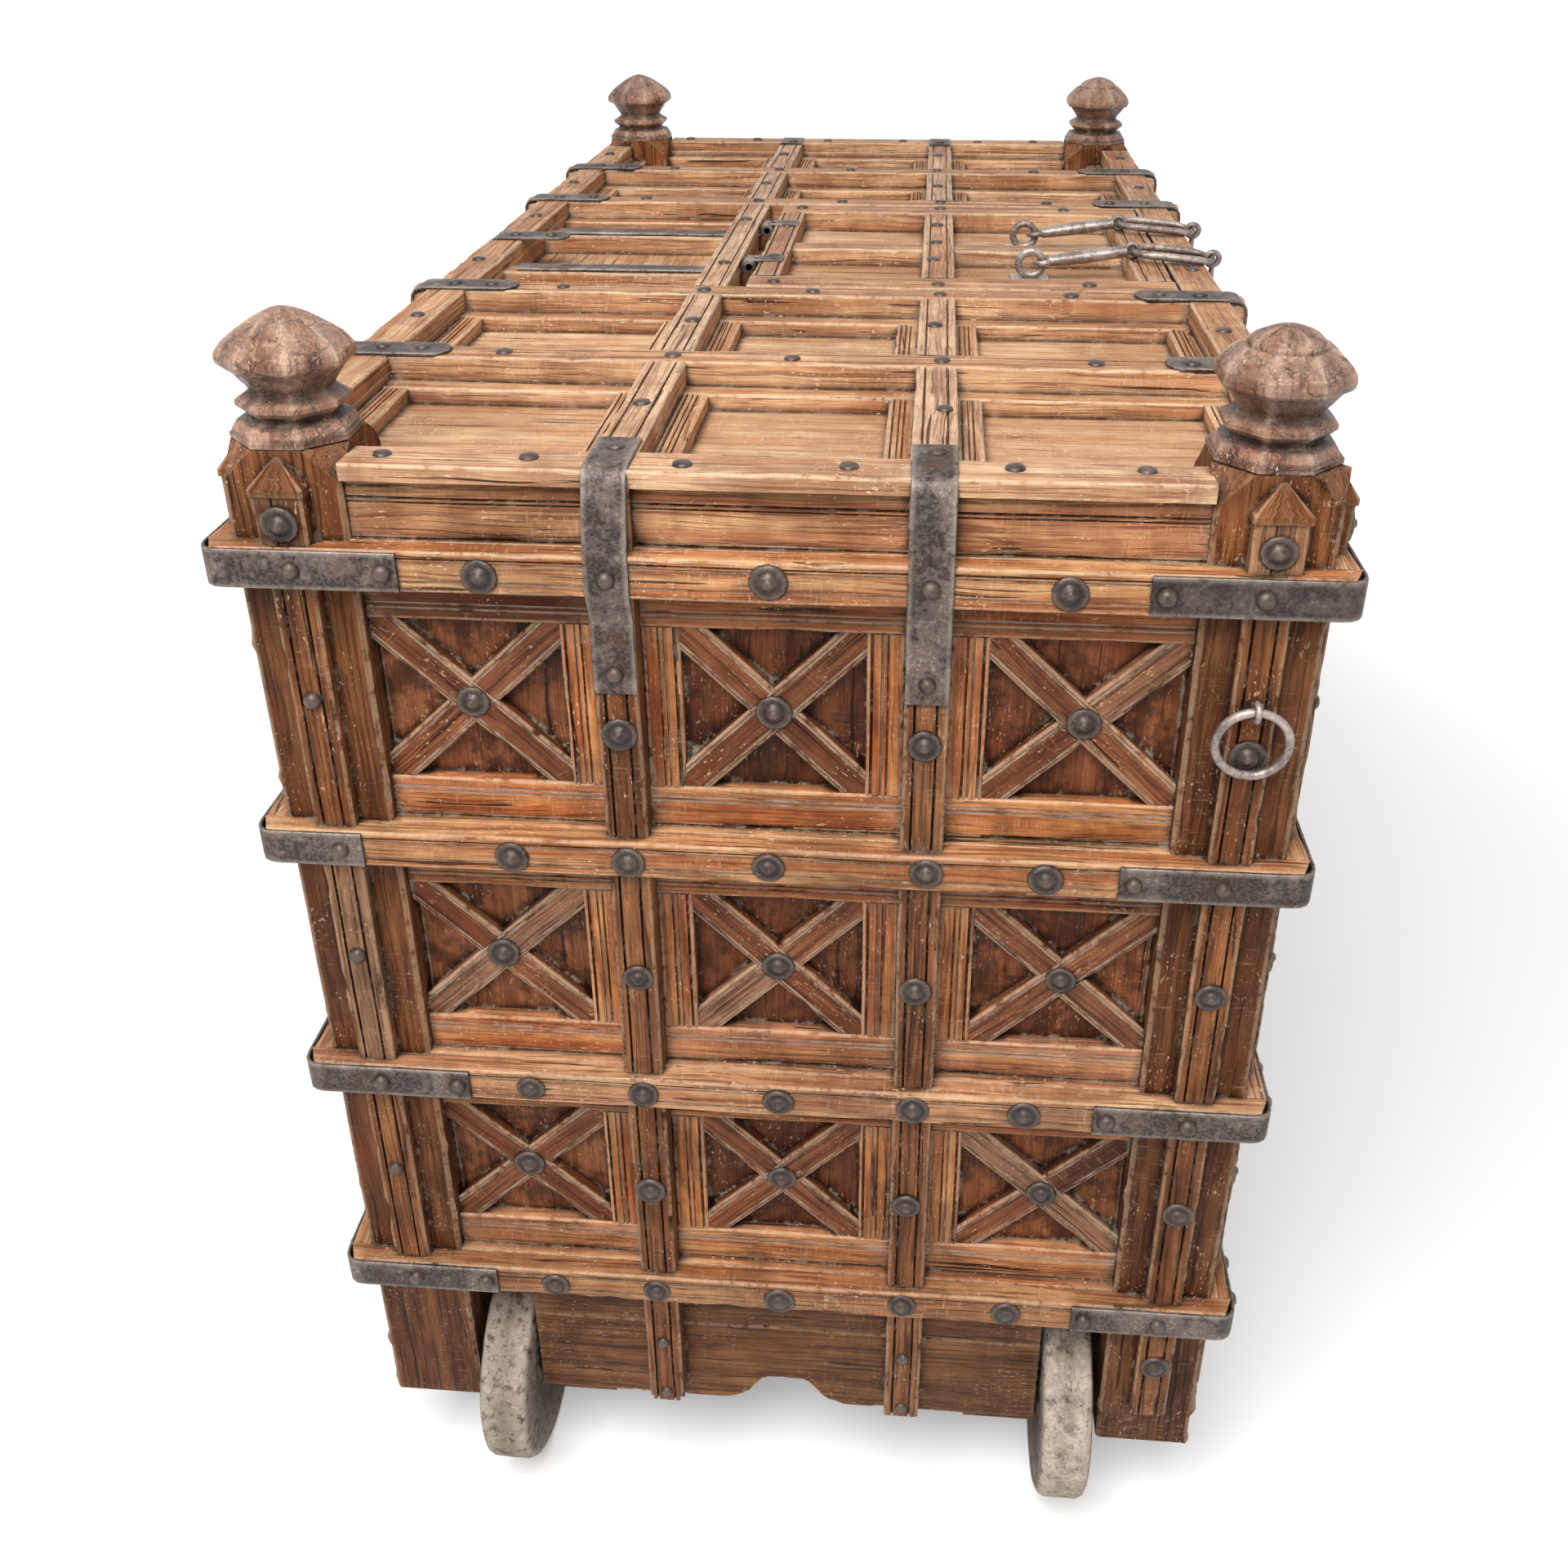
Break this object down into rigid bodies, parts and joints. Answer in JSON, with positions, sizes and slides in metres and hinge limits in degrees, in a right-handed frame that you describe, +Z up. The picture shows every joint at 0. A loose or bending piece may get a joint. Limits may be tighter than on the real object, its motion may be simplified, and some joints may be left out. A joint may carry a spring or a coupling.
{
  "type": "dowry chest",
  "caption": "Wheeled timber storage chest with iron-strapped belts, crossed panels, corner finials and a hinged hatch with chain hasps in its coffered top.",
  "frame": {"origin": "centre of the chest on the floor under the wheels", "axes": "+X along the chest, -Y towards the hasps, +Z up"},
  "size_m": [1.746, 0.9295, 1.349],
  "materials": {
    "post_wood": "worn oiled hardwood, pinkish brown, split along the grain",
    "belt_wood": "worn oiled hardwood with pale dust in the grooves",
    "panel_wood": "old red-brown stain, rubbed thin",
    "top_wood": "waxed honey-brown hardwood, rubbed pale on the edges",
    "under_wood": "dry dark hardwood",
    "wheel_wood": "grey-brown hardwood with old pale paint worn in patches",
    "strap_iron": "hand-forged iron, dark with silvery wear",
    "chain_iron": "hand-forged iron, rubbed grey"
  },
  "bodies": {
    "chest": {"axle_blocks": "under_wood", "axles": "strap_iron", "battens_ends": "belt_wood", "battens_sides": "belt_wood", "belts_back": "belt_wood", "belts_front": "belt_wood", "belts_left": "belt_wood", "belts_right": "belt_wood", "coffer_mouldings": "top_wood", "corner_post_back_left": "post_wood", "corner_post_back_right": "post_wood", "corner_post_front_left": "post_wood", "corner_post_front_right": "post_wood", "corner_straps": "strap_iron", "cross_bars": "top_wood", "crossed_bars_ends": "panel_wood", "crossed_bars_sides": "panel_wood", "end_edge_bars": "top_wood", "end_skirts": "under_wood", "floor_boards": "under_wood", "floor_frame": "under_wood", "frieze_boards": "belt_wood", "hinge_bearers": "top_wood", "hinge_pins": "strap_iron", "hinge_straps": "strap_iron", "linchpins": "strap_iron", "long_bars": "top_wood", "panel_frames_ends": "belt_wood", "panel_frames_sides": "belt_wood", "peg_blocks": "post_wood", "ring_staples": "chain_iron", "side_edge_bars": "top_wood", "side_skirts": "under_wood", "top_boards_left": "top_wood", "top_boards_middle": "top_wood", "top_boards_right": "top_wood", "top_straps": "strap_iron", "wall_boards_back": "panel_wood", "wall_boards_front": "panel_wood", "wall_boards_left": "panel_wood", "wall_boards_right": "panel_wood", "wall_rails": "belt_wood"},
    "hatch": {"hatch_frame": "top_wood", "hatch_boards": "top_wood", "hatch_hinge_leaves": "strap_iron", "hasp_staples": "chain_iron"},
    "ring_left": {"ring_left": "chain_iron"},
    "ring_right": {"ring_right": "chain_iron"},
    "wheel_front_left": {"wheel_front_left": "wheel_wood"},
    "wheel_front_right": {"wheel_front_right": "wheel_wood"},
    "wheel_back_left": {"wheel_back_left": "wheel_wood"},
    "wheel_back_right": {"wheel_back_right": "wheel_wood"},
    "hasp_arm_left": {"hasp_arm_left": "chain_iron"},
    "hasp_loop_left": {"hasp_loop_left": "chain_iron"},
    "hasp_end_left": {"hasp_end_left": "chain_iron"},
    "hasp_arm_right": {"hasp_arm_right": "chain_iron"},
    "hasp_loop_right": {"hasp_loop_right": "chain_iron"},
    "hasp_end_right": {"hasp_end_right": "chain_iron"}
  },
  "joints": [
    {"name": "hatch_hinge", "type": "hinge", "parent": "chest", "child": "hatch", "pos_m": [0, 0.0985, 1.2305], "axis": [-1, 0, 0], "range_deg": [0, 100]},
    {"name": "wheel_front_left_spin", "type": "hinge", "parent": "chest", "child": "wheel_front_left", "pos_m": [-0.748, -0.3055, 0.125], "axis": [0, 1, 0], "continuous": true},
    {"name": "wheel_front_right_spin", "type": "hinge", "parent": "chest", "child": "wheel_front_right", "pos_m": [0.748, -0.3055, 0.125], "axis": [0, 1, 0], "continuous": true},
    {"name": "wheel_back_left_spin", "type": "hinge", "parent": "chest", "child": "wheel_back_left", "pos_m": [-0.748, 0.3055, 0.125], "axis": [0, 1, 0], "continuous": true},
    {"name": "wheel_back_right_spin", "type": "hinge", "parent": "chest", "child": "wheel_back_right", "pos_m": [0.748, 0.3055, 0.125], "axis": [0, 1, 0], "continuous": true},
    {"name": "ring_left_swing", "type": "hinge", "parent": "chest", "child": "ring_left", "pos_m": [-0.845, -0.391, 1.053], "axis": [0, 1, 0], "range_deg": [0, 110]},
    {"name": "ring_right_swing", "type": "hinge", "parent": "chest", "child": "ring_right", "pos_m": [0.845, 0.391, 1.053], "axis": [0, -1, 0], "range_deg": [0, 110]},
    {"name": "hasp_arm_left_lift", "type": "hinge", "parent": "hatch", "child": "hasp_arm_left", "pos_m": [-0.08, -0.24, 1.2315], "axis": [-1, 0, 0], "range_deg": [0, 110]},
    {"name": "hasp_loop_left_lift", "type": "hinge", "parent": "hasp_arm_left", "child": "hasp_loop_left", "pos_m": [-0.08, -0.35974, 1.2489], "axis": [-1, 0, 0], "range_deg": [0, 120]},
    {"name": "hasp_end_left_swing", "type": "hinge", "parent": "hasp_loop_left", "child": "hasp_end_left", "pos_m": [-0.08, -0.4554, 1.24029], "axis": [-1, 0, 0], "range_deg": [0, 100]},
    {"name": "hasp_arm_right_lift", "type": "hinge", "parent": "hatch", "child": "hasp_arm_right", "pos_m": [0.08, -0.24, 1.2315], "axis": [-1, 0, 0], "range_deg": [0, 110]},
    {"name": "hasp_loop_right_lift", "type": "hinge", "parent": "hasp_arm_right", "child": "hasp_loop_right", "pos_m": [0.08, -0.35974, 1.2489], "axis": [-1, 0, 0], "range_deg": [0, 120]},
    {"name": "hasp_end_right_swing", "type": "hinge", "parent": "hasp_loop_right", "child": "hasp_end_right", "pos_m": [0.08, -0.4554, 1.24029], "axis": [-1, 0, 0], "range_deg": [0, 100]}
  ]
}
